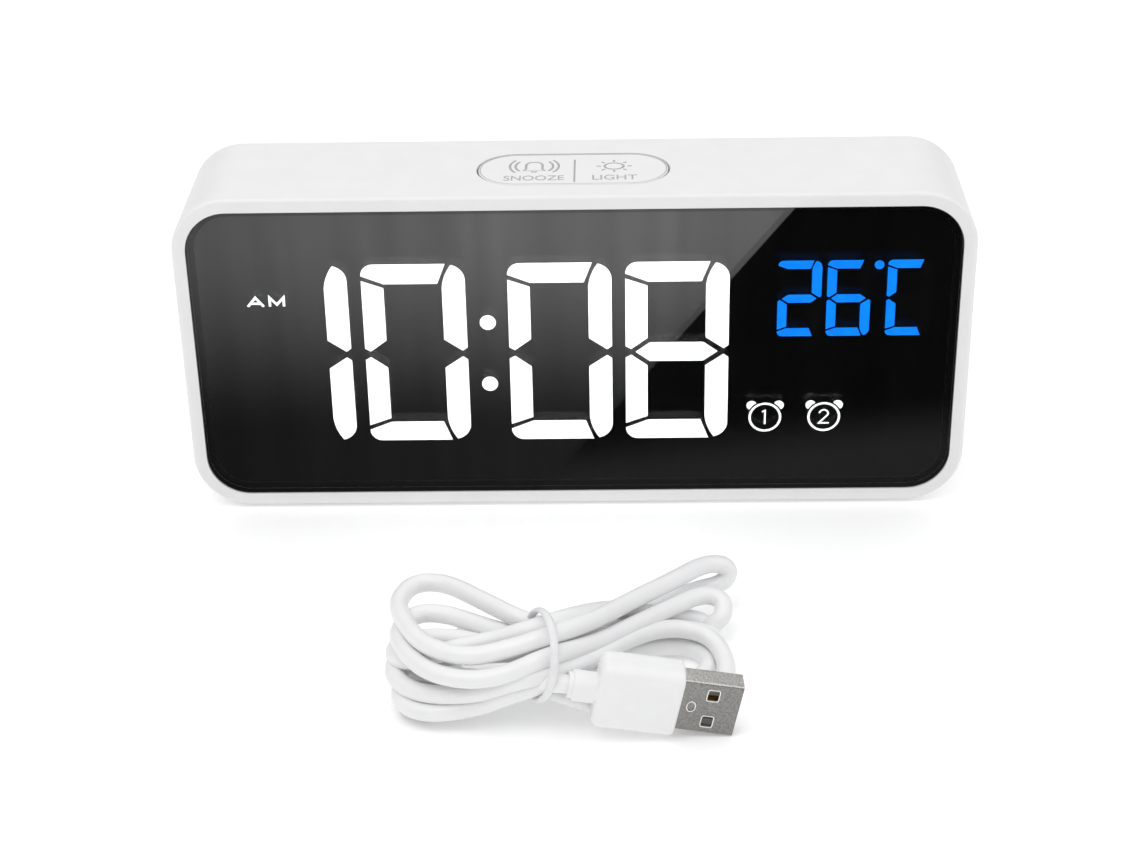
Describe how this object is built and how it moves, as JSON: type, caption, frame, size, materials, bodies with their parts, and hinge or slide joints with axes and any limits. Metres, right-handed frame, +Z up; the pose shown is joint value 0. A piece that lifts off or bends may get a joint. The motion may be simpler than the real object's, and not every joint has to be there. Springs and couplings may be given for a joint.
{
  "type": "digital alarm clock",
  "caption": "Mirror-front digital alarm clock with lit bar digits, a snooze and light button on top, rear setting buttons and a tied USB lead lying in front.",
  "frame": {"origin": "on the surface the clock stands on, under the middle of its case", "axes": "+X to the reader's right, -Y out of the display's face, +Z up"},
  "size_m": [0.175, 0.1266, 0.0768],
  "materials": {
    "case_white": "satin white moulded ABS with a very fine texture",
    "mirror_smoke": "polished half-mirror acrylic, smoked, see-through where lit from behind",
    "black_film": "black printed film",
    "black_plastic": "black moulded plastic",
    "tape": "black double-sided tape",
    "lit_white": "white light diffuser, lit",
    "lit_blue": "blue light diffuser, lit",
    "unlit_diffuser": "white light diffuser, not lit",
    "led_body": "LED package with phosphor",
    "board_green": "circuit board with solder mask",
    "chip_black": "moulded chip package",
    "tin_can": "tinned steel can",
    "capacitor_sleeve": "printed aluminium capacitor sleeve",
    "steel_screw": "zinc-plated steel screw",
    "black_screw": "blackened steel screw",
    "grey_ribbon": "grey PVC ribbon cable",
    "socket_cream": "nylon connector housing",
    "wire_sleeve": "PVC wire sleeve",
    "button_white": "satin white moulded ABS",
    "contact_gold": "gold-plated contact",
    "spring_steel": "nickel-plated spring steel",
    "plug_metal": "nickel-plated connector shell",
    "tongue_white": "white connector insert",
    "cord_white": "smooth white TPE cable jacket",
    "grip_white": "smooth white overmoulding",
    "tie_white": "plastic-covered wire tie",
    "foot_soft": "soft translucent white foot",
    "bead_epoxy": "epoxy bead"
  },
  "bodies": {
    "root": {"housing": "case_white", "rear_cover": "case_white", "feet": "foot_soft", "mirror_panel": "mirror_smoke", "panel_tape": "tape", "mask_film": "black_film", "light_box": "black_plastic", "hour_tens_bars": "lit_white", "hour_units_bars": "lit_white", "colon_dots": "lit_white", "minute_tens_bars": "lit_white", "minute_units_bars": "lit_white", "temperature_bars": "lit_blue", "am_marks": "lit_white", "alarm_marks": "lit_white", "unlit_bars": "unlit_diffuser", "time_leds": "led_body", "temperature_leds": "led_body", "display_board": "board_green", "clock_chip": "chip_black", "driver_chips": "chip_black", "quartz_crystal": "tin_can", "capacitors": "capacitor_sleeve", "board_screws": "steel_screw", "ribbon_cable": "grey_ribbon", "ribbon_sockets": "socket_cream", "top_board": "board_green", "top_switches": "black_plastic", "top_board_screws": "steel_screw", "switch_wires": "wire_sleeve", "rear_board": "board_green", "rear_switches": "black_plastic", "rear_board_screws": "steel_screw", "inlet_shell": "plug_metal", "inlet_tongue": "chip_black", "buzzer": "black_plastic", "thermistor": "bead_epoxy", "cover_screws": "black_screw", "backup_cell": "tin_can", "cell_contacts": "spring_steel", "cable_hank": "cord_white", "cable_lead": "cord_white", "cable_tie": "tie_white", "usb_grip": "grip_white", "usb_shell": "plug_metal", "usb_tongue": "tongue_white", "usb_contacts": "contact_gold", "far_grip": "grip_white", "far_shell": "plug_metal"},
    "snooze_light_button": {"snooze_light_button": "button_white"},
    "set_button": {"set_button": "button_white"},
    "down_button": {"down_button": "button_white"},
    "up_button": {"up_button": "button_white"},
    "alarm_button": {"alarm_button": "button_white"},
    "battery_door": {"battery_door": "case_white"}
  },
  "joints": [
    {"name": "snooze_light_press", "type": "slide", "parent": "root", "child": "snooze_light_button", "axis": [0, 0, -1], "range_m": [0, 0.0006], "stiffness_N_per_m": 2600},
    {"name": "set_press", "type": "slide", "parent": "root", "child": "set_button", "axis": [0, -1, 0], "range_m": [0, 0.0006], "stiffness_N_per_m": 1500},
    {"name": "down_press", "type": "slide", "parent": "root", "child": "down_button", "axis": [0, -1, 0], "range_m": [0, 0.0006], "stiffness_N_per_m": 1500},
    {"name": "up_press", "type": "slide", "parent": "root", "child": "up_button", "axis": [0, -1, 0], "range_m": [0, 0.0006], "stiffness_N_per_m": 1500},
    {"name": "alarm_press", "type": "slide", "parent": "root", "child": "alarm_button", "axis": [0, -1, 0], "range_m": [0, 0.0006], "stiffness_N_per_m": 1500},
    {"name": "battery_door_hinge", "type": "hinge", "parent": "root", "child": "battery_door", "pos_m": [-0.05, 0.0151, 0.0106], "axis": [-1, 0, 0], "range_deg": [0, 90]}
  ]
}
